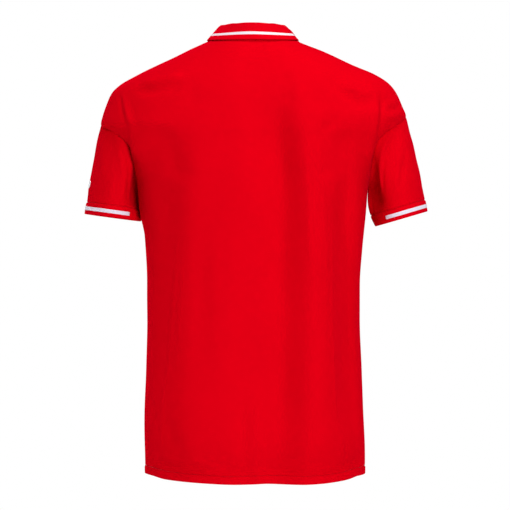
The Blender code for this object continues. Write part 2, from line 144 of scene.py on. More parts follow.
# ---- collar: stations from the bottom of the V (0) round to the middle of the back (1) ----
Station = namedtuple("Station", "place stand rise reach lift bow")
COLLAR_STATIONS = [Station(*row) for row in (
    (0.00, 7.6, 25, 60, 2.0, 1.5),
    (0.20, 10.6, 50, 50, 1.8, 1.5),
    (0.42, 17.6, 84, 27, 1.6, 1.2),
    (0.58, 24.6, 121, 7.5, 1.6, 0.4),
    (0.72, 28.0, 124, 9, 1.9, -0.4),
    (1.00, 27.4, 101, 5.5, 2.4, -1.0),
    (1.28, 28.0, 124, 9, 1.9, -0.4),    # mirrored, so that nothing kinks at the middle
)]
COLLAR_UPRIGHT = (0.3, 0.6)     # places between which the strip turns from lying to standing
ROLL_RADIUS = 3.2               # of the turn from stand to fall
ROLL_SHARE = 0.3                # of the stand that the turn may take up at most
FALL_SHARES = (0.36, 0.7, 1.0)  # where the fall's points lie between its turn and its free edge
STRIPE = (9.4, 14.4)            # the knitted-in white stripe, measured from the free edge
COLLAR_LIFT = 0.35              # clear space under the part of the strip that lies down
COLLAR_LAP = 0.7                # how far the strip's foot is caught in the neck seam
COLLAR_COLUMNS = 240
EDGE_ROUND = (0, 0.15, 0.5, 1.1, 2.2)   # rows near a free edge, measured from it

# ---- largest folds, as in the solids: straight soft troughs ----
Fold = namedtuple("Fold", "panel top_x top_height low_x low_height half_width depth")
FOLDS = [Fold(*row) for row in (
    ("back", -58, -180, -60, -690, 26, 6.0),
    ("back", -22, -120, -52, -330, 30, 3.0),
    ("back", -136, -230, -152, -640, 24, 6.0),
    ("back", 130, -200, 152, -620, 24, 6.0),
    ("back", 20, -260, 12, -690, 26, 3.0),
    ("back", 80, -260, 84, -560, 26, 2.5),
    ("back", 150, -150, 118, -230, 20, 3.5),
    ("back", -150, -150, -118, -225, 20, 3.5),
    ("front", 50, -250, 62, -690, 28, 6.0),
    ("front", -66, -230, -50, -680, 28, 5.0),
    ("front", 138, -220, 150, -640, 24, 6.0),
    ("front", -138, -230, -150, -620, 24, 6.0),
    ("front", 150, -150, 112, -235, 20, 4.0),
    ("front", -150, -150, -112, -235, 20, 4.0),
)]
FOLD_END = 0.35         # share of a fold's length over which it fades
SEAM_FADE = 60.0        # distance from a seam over which folds die out

# ---- creases: a trough where depth is above 0, a ridge below. A panel's path is (x, height),
# a sleeve's is (degrees from the outside of the arm over the back, distance from the armhole).
# The far width, if any, is the half-width on the side of the first number's greater values ----
Crease = namedtuple("Crease", "piece half_width depth path far_width", defaults=(None,))
CREASES = [Crease(*row) for row in (
    # back: the long trough right of the middle, the rise beside it and two fine lines on that
    ("back", 26, 14.5, ((-24, 40), (-29, -60), (-35, -150), (-40, -232), (-38, -300), (-38, -420),
        (-37, -560), (-33, -690), (-29, -900)), 48),
    ("back", 40, -9.0, ((-66, 0), (-77, -120), (-85, -220), (-91, -320), (-92, -450), (-90, -600),
        (-85, -900)), 23),
    ("back", 3.5, -0.9, ((-80, -150), (-82, -220), (-84, -300), (-86, -390))),
    ("back", 3.5, 0.9, ((-90, -170), (-92, -240), (-96, -330))),
    ("back", 4, -1.0, ((-95, -140), (-104, -220), (-110, -300), (-113, -400), (-112, -520))),
    # back: the right flank's trough and its fine ridges
    ("back", 10, 8.5, ((-148, -120), (-154, -288), (-157, -380), (-161, -480), (-164, -600),
        (-166, -680), (-167, -736)), 26),
    ("back", 3.2, -1.0, ((-121, -260), (-124, -340), (-124, -440), (-128, -560), (-136, -640),
        (-142, -695))),
    ("back", 3, -0.8, ((-140, -630), (-147, -668), (-150, -696))),
    ("back", 3, 0.8, ((-146, -640), (-153, -674), (-156, -700))),
    # back: the left flank's trough, its two thin ridges and the slanting line
    ("back", 46, -6.0, ((118, -130), (122, -330), (126, -480), (128, -760))),
    ("back", 17, -8.0, ((196, -140), (184, -205), (177, -260), (174, -320))),
    ("back", 11, 0.7, ((132, -200), (140, -260), (147, -330), (154, -420), (160, -520), (160, -640))),
    ("back", 3.2, -1.1, ((122, -290), (127, -380), (131, -430), (139, -523), (146, -595), (150, -655),
        (147, -690))),
    ("back", 3, -0.6, ((112, -340), (118, -440), (126, -540))),
    ("back", 2.4, 0.8, ((171, -560), (167, -590), (162, -607), (157, -628), (153, -648))),
    ("back", 12, 2.4, ((143, -598), (130, -650), (118, -693))),
    # back: middle of the hem
    ("back", 12, -2.6, ((2, -540), (-2, -620), (-5, -760))),
    ("back", 11, 1.8, ((20, -570), (18, -640), (16, -760))),
    ("back", 10, 0.8, ((50, -272), (52, -400), (50, -537))),
    ("back", 14, 1.0, ((86, -320), (84, -420), (82, -520))),
    ("back", 9, 1.8, ((102, -672), (62, -680), (28, -686))),
    ("back", 9, 1.8, ((-50, -686), (-92, -682), (-138, -672))),
    # back: shoulders and neck
    ("back", 6, -4.6, ((192, -76), (164, -71), (146, -68), (112, -57))),
    ("back", 9, 3.4, ((201, -86), (168, -86), (138, -81), (108, -71))),
    ("back", 15, 1.6, ((118, -62), (104, -84), (98, -120))),
    ("back", 6, -2.2, ((-134, -71), (-167, -86), (-199, -94))),
    ("back", 9, 2.6, ((-107, -61), (-139, -87), (-167, -106), (-191, -111))),
    ("back", 9, 1.6, ((-100, -152), (-118, -144), (-136, -132))),
    ("back", 12, -1.4, ((-84, -114), (-100, -130), (-116, -146))),
    ("back", 5, 1.8, ((-22, -10), (-2, -18), (23, -32))),
    ("back", 7, -1.5, ((-34, -20), (-6, -32), (20, -48))),
    ("back", 12, 1.6, ((-40, -40), (-52, -80), (-56, -130))),
    # back: the ledges where the back hangs over the armholes, and the folds outside them
    ("back", 7, -2.8, ((215, -80), (211, -112), (204, -136), (196, -166), (186, -205))),
    ("back", 4, 2.6, ((222, -84), (216, -112), (210, -134), (203, -162))),
    ("back", 7, -2.8, ((-194, -80), (-196, -108), (-195, -140), (-189, -176), (-183, -214))),
    ("back", 5, 2.8, ((-202, -84), (-205, -110), (-203, -138), (-198, -166))),
    ("back", 4, -1.8, ((-210, -104), (-222, -104), (-236, -100))),
    ("back", 4, 1.8, ((-210, -116), (-222, -116), (-238, -111))),
    ("back", 4, -1.5, ((-208, -126), (-220, -128), (-234, -124))),
    # front: likewise, on the hidden side
    ("front", 18, 7.0, ((40, -130), (48, -300), (54, -430), (58, -560), (56, -860)), 34),
    ("front", 4, -1.0, ((64, -240), (72, -340), (77, -450), (76, -560))),
    ("front", 3, 0.7, ((84, -300), (90, -400), (88, -470))),
    ("front", 32, 6.0, ((-56, -170), (-60, -330), (-54, -470), (-48, -600), (-50, -830)), 16),
    ("front", 4, -0.9, ((-78, -260), (-76, -380), (-70, -500))),
    ("front", 3, -0.8, ((-96, -330), (-92, -450), (-96, -570), (-104, -680))),
    ("front", 15, 5.5, ((128, -200), (138, -360), (148, -480), (154, -640))),
    ("front", 3, -1.1, ((126, -330), (134, -440), (143, -560), (146, -680))),
    ("front", 15, 5.5, ((-126, -200), (-138, -380), (-146, -500), (-154, -660))),
    ("front", 2.4, 1.0, ((-170, -570), (-163, -612), (-154, -650))),
    ("front", 6, 1.4, ((4, -600), (-8, -650), (-14, -694))),
    ("front", 5, -1.0, ((12, -570), (8, -640), (10, -694))),
    ("front", 9, 1.0, ((110, -680), (70, -690), (24, -694))),
    ("front", 9, 1.0, ((-70, -690), (-112, -684), (-140, -674))),
    ("front", 5, -1.4, ((176, -72), (140, -66), (112, -60))),
    ("front", 10, 3.4, ((200, -88), (160, -88), (124, -90), (90, -106))),
    ("front", 5, -1.2, ((-170, -78), (-136, -70), (-106, -60))),
    ("front", 10, 3.2, ((-196, -96), (-152, -100), (-112, -104), (-84, -118))),
    ("front", 11, 3.6, ((168, -150), (136, -190), (112, -250))),
    ("front", 11, 3.6, ((-168, -146), (-138, -186), (-116, -244))),
    # left sleeve
    ("left", 30, 16.0, ((148, -20), (152, 40), (156, 140))),
    ("left", 7, -1.8, ((66, 4), (90, 36), (104, 70), (108, 104))),
    ("left", 8, 2.6, ((86, 6), (110, 36), (122, 76))),
    ("left", 7, -1.2, ((36, 8), (52, 44), (62, 84))),
    ("left", 9, 1.4, ((14, 16), (28, 56), (36, 100))),
    ("left", 6, 1.8, ((-70, 8), (-84, 50), (-92, 100))),
    ("left", 5, -1.4, ((-54, 6), (-66, 44), (-72, 92))),
    ("left", 14, 5.0, ((-136, -4), (-142, 42), (-146, 90))),
    # right sleeve
    ("right", 30, 16.0, ((146, -20), (150, 40), (154, 130))),
    ("right", 6, -2.4, ((70, 2), (94, 22), (116, 44), (128, 66))),
    ("right", 4.5, 2.2, ((58, 4), (82, 24), (106, 46), (120, 70))),
    ("right", 5, -1.6, ((62, 36), (76, 60), (96, 92))),
    ("right", 4, 1.4, ((48, 36), (62, 62), (84, 96))),
    ("right", 8, 1.2, ((12, 10), (20, 50), (28, 90))),
    ("right", 6, 1.8, ((-66, 8), (-80, 52), (-86, 104))),
    ("right", 5, -1.3, ((-92, 4), (-100, 46), (-104, 88))),
    ("right", 14, 5.0, ((-136, -4), (-142, 38), (-146, 84))),
)]
CREASE_END = 0.3        # share of a crease's length over which it fades
CREASE_REACH = 3        # half-widths out to which a crease is felt
CREASE_UNEVEN = (0.12, 31.0)    # how uneven its depth is, and over what length
CREASE_SPREAD = (0.8, 0.35)     # its width at the start, and what is added by its end

# ---- mesh density: steps at the finest level, all multiples of the coarsest ----
RELAX_ROUNDS = {6: 400, 2: 120, 1: 40}      # rounds of relaxing at each coarseness, in turn
NECK_STEPS = {"back": 30, "front": 42}
SHOULDER_STEPS = 66
ARMHOLE_STEPS = 60
SIDE_STEPS = 126        # top of the hem to the underarm
LEVEL_STEPS = 66        # steps above the hem that stay level across a panel
SLEEVE_STEPS = 54
COLLAR_STEPS = 42       # across the strip, seam to free edge
ROW_EASE = 1.6          # above 1 the middle's rows are wider apart near the top
UPRIGHT_PULL = 0.22     # how strongly a point follows its neighbours up and down
DENSE = 400             # points on a curve before it is spaced evenly

# ---- small waves: their seed is one higher on the front, and goes by the side on a sleeve ----
Wave = namedtuple("Wave", "height length upright seed")     # upright: how far v counts beside u
PANEL_WAVE = Wave(0.35, 55, 0.4, 3)
BLOUSE_WAVE = Wave(0.35, 60, 0.1, 5)
PUCKER_WAVE = Wave(0.22, 11.0, 0.35, 7)
SLEEVE_WAVE = Wave(0.35, 45, 1, 11)
COLLAR_WAVE = Wave(0.14, 38, 1, 5)
WAVE_PARTS = 7
PUCKER_REACH = 9.0          # from the stitch line
COLLAR_WAVE_REACH = 34.0    # from the free edge

# ---- seams ----
EDGES = {"low": (0, -1), "high": (0, 1), "first": (1, -1), "last": (1, 1)}  # axis and way out
EDGE_SHARES = (0.4, 0.68, 0.86)     # extra lines near a seam, as shares of the last cell
ARMHOLE_STEP = 2.0      # a panel's edge this close to a sleeve's shares its normals
NORMAL_BLEND = 7.0      # distance from a seam over which the shared normals give way
CREASE_FADE = 12.0      # distance from a seam over which creases die out
CUFF_FADE = 45.0        # and from a cuff
ALLOWANCE_WALL = 0.9    # the seam allowance's bulk, inside
ALLOWANCE_WIDTH = 6.5
ALLOWANCE_END = 1.2
SEAM_LEAN = 0.8         # how far the inner edges lean forwards, so that a seam lets no light in
SEAM_LEAN_REACH = 3.0

# ---- stitches, tapes and badge ----
STITCH_PITCH = 3.2      # from the start of one stitch to the next
STITCH_LENGTH = 2.7
STITCH_ARCH = 0.12
STITCH_LIFT = 0.05
THREAD_RADIUS = 0.24
THREAD_SIDES = 6
THREAD_PROFILE = (0.35, 0.9, 1, 0.9, 0.35)
TAPE_ROWS = 13
TAPE_RIBS = 3
TAPE_RIB = 0.07         # height of its ribs
BADGE_TURN = (0.0, 25.0)        # middle and half span, degrees from the outside of the arm
BADGE_HEIGHT = (49.5, 6.8)      # middle and half height above the cuff
BADGE_CORNER = 0.45             # 1 is an oval, towards 0 a rectangle
BADGE_WALL = 0.35
BADGE_EYE = 0.02                # share of the badge at which its innermost ring lies
BADGE_RINGS = 12
BADGE_SPOKES = 72
BADGE_GROOVE = (0.78, 0.05, 0.16)   # its place as a share of the badge, its width and its depth

# ---- finishes: colours, then lengths in metres ----
WHITE_DIM, WHITE_BRIGHT = (0.58, 0.53, 0.62, 1), (0.79, 0.725, 0.85, 1)
STRIPE_JAG = 0.0003     # how much the loops notch the stripe's edges
STRIPE_DIM, STRIPE_BRIGHT = (0.62, 0.58, 0.62, 1), (0.79, 0.745, 0.79, 1)
TAPE_PITCH = 0.0009     # of its cross threads
MOTTLE_SCALE, CLOUD_SCALE = 700.0, 22.0                 # of the knit's fine and broad unevenness
MOTTLE_TONE, CLOUD_TONE, LOOP_SHADE = 0.9, 0.12, 0.35    # what each adds to the knit's lightness; the loops' share is painted shade in the gaps between them
KNIT_ROUGH_SPAN = 0.14
LOOP_SLANT = 2.6        # of the legs of a loop's V
KNIT_TINT = (1.0, 0.0, 0.05, 1.0)       # of its sheen
Knit = namedtuple("Knit", "name deep bright wale course relief rough sheen")
RED_KNIT = Knit("red_knit", (0.52, 0.0, 0.004, 1), (0.68, 0.0, 0.007, 1),
                0.0011, 0.0009, 0.00022, 0.55, 0.12)
RIB_KNIT = Knit("red_collar_knit", (0.52, 0.0, 0.004, 1), (0.68, 0.0, 0.008, 1),
                0.0016, 0.0013, 0.0003, 0.65, 0.15)
Grain = namedtuple("Grain", "name dark pale scale detail rough rough_span relief strength shine")
# painted shade: the thread is about half as bright as the cloth, so that the stitch lines read as the
# shade in their grooves
SHADED_THREAD = Grain("red_thread_painted_shade", (0.26, 0.0, 0.002, 1), (0.36, 0.0, 0.004, 1),
               2600.0, 1.0, 0.4, 0.15, 0.0001, 0.6, 0.2)
FILM = Grain("white_film", (0.72, 0.72, 0.76, 1), (0.86, 0.86, 0.9, 1),
             1400.0, 2.0, 0.42, 0.12, 0.00008, 0.5, 0.35)
FLOOR_PAPER = Grain("floor_paper", (0.86, 0.86, 0.86, 1), (0.9, 0.9, 0.9, 1),
                    40.0, 3.0, 0.8, 0.1, 0.0005, 0.1, 0.1)

# ---- studio: metres and watts; a light's row has its name, place, size and power ----
CAMERA_AWAY = 3.5
CAMERA_HEIGHT = -0.351
SENSOR_WIDTH = 36.0     # millimetres
VIEW_WIDTH = 0.8415     # what the camera takes in at the jersey's middle
AIM = (0, 0, -0.33)     # what the lights point at
FILL = 0.12             # light from all round
LIGHTS = (
    ("front_softbox", (-0.88, 3.1, 0.65), (0.9, 0.9), 94),
    ("top_softbox", (-0.2, 0.4, 2.0), (1.4, 1.0), 38),
    ("left_strip", (2.2, -0.9, -0.2), (0.5, 2.0), 29),
    ("right_strip", (-2.1, -1.6, -0.2), (0.5, 2.0), 16),
    ("far_softbox", (1.5, -2.8, 1.0), (1.0, 1.0), 48),
)
FLOOR_RADIUS = 2.1
FLOOR_HEIGHT = -1.05
FLOOR_THICKNESS = 0.02
BACKDROP_RADIUS = 14.0


# ---- small tools ----
def smooth_read(rows, column, place):
    """A column's value on a smooth curve through the rows, with no overshoot."""
    table = sorted((row[0], getattr(row, column)) for row in rows)
    places, values = np.array(table, dtype=float).T
    rises = np.diff(values) / np.diff(places)
    before, after = rises[:-1], rises[1:]
    same_way = before * after > 0
    inner = np.where(same_way, 2 * before * after / np.where(same_way, before + after, 1), 0)
    tangents = np.concatenate([rises[:1], inner, rises[-1:]])
    place = np.clip(np.asarray(place, dtype=float), places[0], places[-1])
    i = np.clip(np.searchsorted(places, place) - 1, 0, len(places) - 2)
    step = places[i + 1] - places[i]
    t = (place - places[i]) / step
    return hermite(t, values[i], step * tangents[i], values[i + 1], step * tangents[i + 1])


def hermite(t, start, leave, end, arrive):
    """Cubic between two values, leaving and arriving with the given slopes."""
    return ((1 + 2 * t) * (1 - t) ** 2 * start + t * (1 - t) ** 2 * leave
            + t * t * (3 - 2 * t) * end - t * t * (1 - t) * arrive)


def smooth_step(value):
    value = np.clip(value, 0, 1)
    return value * value * (3 - 2 * value)


def unit(vectors):
    return vectors / np.maximum(np.linalg.norm(vectors, axis=-1, keepdims=True), 1e-9)


def running_length(points, axis=0):
    """Lengths along a curve or a grid's lines, from its first point."""
    steps = np.linalg.norm(np.diff(points, axis=axis), axis=-1)
    return np.insert(np.cumsum(steps, axis=axis), 0, 0, axis=axis)


def points_at(curve, places):
    """Points at given lengths along a dense curve."""
    lengths = running_length(curve)
    columns = [np.interp(places, lengths, curve[:, k]) for k in range(curve.shape[1])]
    return np.stack(columns, axis=1)


def even_points(curve, steps):
    return points_at(curve, np.linspace(0, running_length(curve)[-1], steps + 1))


def rounded_path(path, steps):
    """A smooth curve through a few points."""
    path = np.array(path, dtype=float)
    ends = np.vstack([2 * path[0] - path[1], path, 2 * path[-1] - path[-2]])
    t = np.linspace(0, 1, steps, endpoint=False)[:, None]
    runs = []
    for before, start, end, after in zip(ends, ends[1:], ends[2:], ends[3:]):
        runs.append(hermite(t, start, (end - before) / 2, end, (after - start) / 2))
    return np.vstack([*runs, path[-1:]])


def ripple(wave, u, v, seed_shift=0):
    """Uneven waves at places u, v, of about the given height and length."""
    random = np.random.default_rng(wave.seed + seed_shift)
    v = v * wave.upright
    total = np.zeros(np.broadcast(u, v).shape)
    for _ in range(WAVE_PARTS):
        turn, phase = random.uniform(0, 2 * math.pi, 2)
        pitch = wave.length * random.uniform(0.7, 1.6)
        total = total + np.sin((u * math.cos(turn) + v * math.sin(turn)) * 2 * math.pi / pitch
                               + phase)
    return wave.height * total / math.sqrt(WAVE_PARTS)


# ---- body form ----
def ring_sizes(x, y, z):
    """Half-width, half-depth and squareness of the body's ring on the side of a point."""
    width = np.where(x >= 0, smooth_read(BODY_RINGS, "left_width", z),
                     smooth_read(BODY_RINGS, "right_width", z))
    depth = np.where(y >= 0, smooth_read(BODY_RINGS, "back_depth", z),
                     smooth_read(BODY_RINGS, "front_depth", z))
    return width, depth, smooth_read(BODY_RINGS, "squareness", z)


def onto_body(points):
    """Points moved level onto the body form."""
    x, y, z = points[..., 0], points[..., 1], points[..., 2]
    width, depth, power = ring_sizes(x, y, z)
    level = (np.abs(x / width) ** power + np.abs(y / depth) ** power) ** (1 / power)
    return np.stack([x / level, y / level, z], axis=-1)


def out_from_body(points):
    """How far each point lies outside the body form, measured level."""
    form = onto_body(points)
    return np.linalg.norm(points[..., :2], axis=-1) - np.linalg.norm(form[..., :2], axis=-1)


def body_normal(points):
    """Outward direction of the body form, the way its distance grows fastest."""
    shifts = 0.5 * np.eye(3)
    slope = [out_from_body(points + shift) - out_from_body(points - shift) for shift in shifts]
    return unit(np.stack(slope, axis=-1))


def at_depth(side, y, z):
    """The point of the body form at a depth and height, on one side."""
    y = np.asarray(y, dtype=float)
    width, depth, power = ring_sizes(side * np.ones_like(y), y, z)
    x = width * (1 - np.abs(y / depth) ** power) ** (1 / power)
    return np.stack([side * x, y, z * np.ones_like(y)], axis=-1)


# ---- cut lines, at a level's coarseness ----
def side_heights(coarse):
    """Heights up the side seam from the top of the hem to the underarm."""
    return np.linspace(HEM_SIDE + HEM_HEIGHTS[-1], UNDERARM, SIDE_STEPS // coarse + 1)


def middle_heights(top, coarse):
    """Heights up the middle of a panel: level with the side seam, then closing on the top."""
    level = side_heights(coarse)[:LEVEL_STEPS // coarse + 1] - HEM_DROP
    rows_left = (SIDE_STEPS + ARMHOLE_STEPS) // coarse + 1 - len(level)
    climb = np.linspace(0, 1, rows_left + 1)[1:]
    way = top - level[-1]
    first_share = (level[-1] - level[-2]) / way * rows_left
    eased = first_share * climb + (1 - first_share) * climb ** ROW_EASE
    return np.concatenate([level, level[-1] + way * eased])


def armhole(sleeve, way, coarse):
    """The armhole from the underarm to the shoulder tip, over the back (1) or front (-1)."""
    turn = np.linspace(math.pi, 0, DENSE)
    share = (1 + np.cos(turn)) / 2
    y = SHOULDER_TIP_Y * share + way * ARMHOLE_DEPTH * np.sin(turn)
    z = UNDERARM + (sleeve.seam_top - UNDERARM) * share ** ARMHOLE_CROWN
    return even_points(at_depth(sleeve.side, y, z), ARMHOLE_STEPS // coarse)


def shoulder_seam(sleeve, coarse):
    z = np.linspace(NECK_SIDE, sleeve.seam_top, DENSE)
    y = np.linspace(SHOULDER_NECK_Y, SHOULDER_TIP_Y, DENSE)
    return even_points(at_depth(sleeve.side, y, z), SHOULDER_STEPS // coarse)


def neck_back(side, coarse):
    """The back neckline, from the middle to the shoulder seam."""
    end = at_depth(side, SHOULDER_NECK_Y, NECK_SIDE)
    depth = float(smooth_read(BODY_RINGS, "back_depth", NECK_BACK))
    angle = np.linspace(0, math.pi / 2, DENSE)
    x = end[0] * np.sin(angle)
    y = SHOULDER_NECK_Y + (depth - SHOULDER_NECK_Y) * np.cos(angle)
    z = NECK_BACK + (NECK_SIDE - NECK_BACK) * np.sin(angle) ** 2
    curve = onto_body(np.stack([x, y, z], axis=-1))
    return even_points(curve, NECK_STEPS["back"] // coarse)


def neck_front(side, coarse):
    """The V, from its bottom up to the shoulder seam."""
    end = at_depth(side, SHOULDER_NECK_Y, NECK_SIDE)
    share = np.linspace(0, 1, DENSE)
    x = np.abs(end[0]) * share ** V_FULLNESS
    z = NECK_FRONT + (NECK_SIDE - NECK_FRONT) * share ** V_DROP
    width, depth, power = ring_sizes(side * np.ones(DENSE), -np.ones(DENSE), z)
    y = -depth * (1 - np.minimum(x / width, 1) ** power) ** (1 / power)
    curve = np.stack([side * x, y, z], axis=-1)
    curve[-1] = end
    return even_points(curve, NECK_STEPS["front"] // coarse)


# ---- panels ----
def hem_ring(sleeve, way, height, columns):
    """A level ring of a half panel, lower at the middle."""
    turn = np.linspace(0, math.pi / 2, DENSE)
    z = HEM_SIDE + height - HEM_DROP * np.cos(turn) ** 2
    ring = np.stack([sleeve.side * np.sin(turn), way * np.cos(turn), z], axis=-1)
    return even_points(onto_body(ring), columns - 1)


def finer(grid, shape):
    """A grid read at more rows and columns."""
    for axis, count in enumerate(shape):
        grid = np.moveaxis(grid, axis, 0)
        place = np.linspace(0, len(grid) - 1, count)
        first = np.minimum(place.astype(int), len(grid) - 2)
        share = (place - first)[:, None, None]
        grid = np.moveaxis(grid[first] * (1 - share) + grid[first + 1] * share, 0, axis)
    return grid


def half_panel(sleeve, way):
    """Grid [row up][column from the middle to the side] on the body form, coarse to fine."""
    grid = None
    for coarse, rounds in RELAX_ROUNDS.items():
        neck = neck_back(sleeve.side, coarse) if way > 0 else neck_front(sleeve.side, coarse)
        top = np.vstack([neck, shoulder_seam(sleeve, coarse)[1:]])
        heights = side_heights(coarse)
        side = at_depth(sleeve.side, np.zeros_like(heights), heights)
        edge = np.vstack([side, armhole(sleeve, way, coarse)[1:]])
        z = middle_heights(top[0, 2], coarse)
        depth = smooth_read(BODY_RINGS, "back_depth" if way > 0 else "front_depth", z)
        middle = np.stack([np.zeros_like(z), way * depth, z], axis=-1)
        middle[-1] = top[0]
        low = hem_ring(sleeve, way, HEM_HEIGHTS[-1], len(top))
        if grid is None:
            share = np.linspace(0, 1, len(edge))[:, None, None]
            grid = (1 - share) * low + share * top
        else:
            grid = finer(grid, (len(edge), len(top)))
        grid[0], grid[:, 0], grid[:, -1], grid[-1] = low, middle, edge, top
        for _ in range(rounds):
            upright = grid[:-2, 1:-1] + grid[2:, 1:-1]
            across = grid[1:-1, :-2] + grid[1:-1, 2:]
            mean = (upright * UPRIGHT_PULL + across) / (2 + 2 * UPRIGHT_PULL)
            grid[1:-1, 1:-1] = onto_body(mean)
    hem = [hem_ring(sleeve, way, height, grid.shape[1]) for height in HEM_HEIGHTS[:-1]]
    return np.concatenate([np.array(hem), grid])


def panel_grid(panel):
    """The whole back or front, side to side."""
    way = 1 if panel == "back" else -1
    left, right = (half_panel(sleeve, way) for sleeve in SLEEVES)
    return np.concatenate([right[:, :0:-1], left], axis=1)


def fold_depth(points, panel):
    """How deep the large folds press each point in."""
    total = np.zeros(points.shape[:-1])
    for fold in FOLDS:
        if fold.panel == panel:
            run = (points[..., 2] - fold.top_height) / (fold.low_height - fold.top_height)
            slope = (fold.low_x - fold.top_x) / (fold.low_height - fold.top_height)
            middle = fold.top_x + (fold.low_x - fold.top_x) * run
            across = (points[..., 0] - middle) * math.cos(math.atan(slope)) / fold.half_width
            ends = smooth_step(run / FOLD_END + 0.4) * smooth_step((1 - run) / FOLD_END + 0.4)
            total += fold.depth * np.exp(-across ** 2) * ends
    return total


def crease_depth(chart, piece):
    """How deep the creases of a piece press each point of its chart in."""
    total = np.zeros(chart.shape[:-1])
    for crease in CREASES:
        if crease.piece != piece:
            continue
        line = rounded_path(crease.path, 8)
        lengths = running_length(line)
        reach = CREASE_REACH * max(crease.half_width, crease.far_width or 0)
        near = np.all((chart > line.min(0) - reach) & (chart < line.max(0) + reach), axis=-1)
        spots = chart[near]
        nearest = np.full(len(spots), np.inf)
        place = np.zeros(len(spots))
        beyond = np.zeros(len(spots), dtype=bool)
        for start, end, before in zip(line[:-1], line[1:], lengths):
            step = end - start
            share = np.clip((spots - start) @ step / (step @ step), 0, 1)
            off = spots - start - share[:, None] * step
            away = np.linalg.norm(off, axis=1)
            closer = away < nearest
            beyond = np.where(closer, off[:, 0] > 0, beyond)
            nearest = np.where(closer, away, nearest)
            place = np.where(closer, before + share * np.linalg.norm(step), place)
        run = place / lengths[-1]
        ends = smooth_step(run / CREASE_END) * smooth_step((1 - run) / CREASE_END)
        swing, length = CREASE_UNEVEN
        uneven = 1 + swing * np.sin(place / length + crease.path[0][0])
        width = np.where(beyond, crease.far_width or crease.half_width, crease.half_width)
        width = width * (CREASE_SPREAD[0] + CREASE_SPREAD[1] * run)
        total[near] += crease.depth * uneven * ends * np.exp(-(nearest / width) ** 2)
    return total


# ---- sleeves ----
def sleeve_grid(sleeve):
    """Grid [row from cuff to armhole][column once round from the shoulder tip over the back]."""
    loop = np.vstack([armhole(sleeve, 1, 1)[::-1], armhole(sleeve, -1, 1)[1:-1]])
    turns = np.linspace(0, 2 * math.pi, len(loop), endpoint=False)
    tilt, lean = math.radians(sleeve.tilt), math.radians(sleeve.lean)
    outward = np.array([sleeve.side * math.cos(tilt), 0, math.sin(tilt)])
    backward = np.array([0, 1.0, 0])
    down = np.array([sleeve.side * math.sin(lean), 0, -math.cos(lean)])
    centre = np.array([sleeve.side * sleeve.cuff_x, CUFF_Y, sleeve.cuff_height])
    t = np.linspace(0, 1, DENSE)[:, None]
    columns = []
    for start, turn in zip(loop, turns):
        end = (centre + sleeve.half_width * math.cos(turn) * outward
               + CUFF_HALF_DEPTH * math.sin(turn) * backward)
        length = np.linalg.norm(end - start)
        straight, downward = SLEEVE_PULL
        leave = straight * (end - start) + downward * length * down
        curve = hermite(t, start, leave, end, length * down)
        fade, least, lean_up = OUTER_SWELL
        outer = least + (1 - least) * math.sin(turn) ** 2
        outer = SLEEVE_SWELL * outer * smooth_step((math.cos(turn) + 1) / fade)
        inner = sleeve.tuck * smooth_step(-math.cos(turn))
        swell = outer * np.sin(math.pi * t ** lean_up) + inner * np.sin(math.pi * t)
        curve = curve + swell * (math.cos(turn) * outward + math.sin(turn) * backward)
        whole = running_length(curve)[-1]
        climb = np.linspace(CUFF_HEIGHTS[-1], whole, SLEEVE_STEPS + 1)[1:]
        columns.append(points_at(curve, whole - np.concatenate([CUFF_HEIGHTS, climb])))
    return np.stack(columns, axis=1)


def grid_normals(grid, closed):
    """Normals of a grid, from its own rows and columns."""
    if closed:
        across = np.roll(grid, -1, axis=1) - np.roll(grid, 1, axis=1)
    else:
        across = np.gradient(grid, axis=1)
    return unit(np.cross(across, np.gradient(grid, axis=0)))


def sleeve_normals(grid):
    """A sleeve's normals, turned away from its middle line."""
    normal = grid_normals(grid, True)
    outward = np.sum(normal * (grid - grid.mean(axis=1, keepdims=True)))
    return normal * np.sign(outward)


# ---- collar ----
def neckline():
    """The whole neckline, from the V up its right side, round the back and down the left."""
    left, right = (neck_front(sleeve.side, 1) for sleeve in SLEEVES)
    back_left, back_right = (neck_back(sleeve.side, 1) for sleeve in SLEEVES)
    line = np.vstack([right, back_right[-2::-1], back_left[1:], left[-2::-1]])
    return even_points(line, COLLAR_COLUMNS)


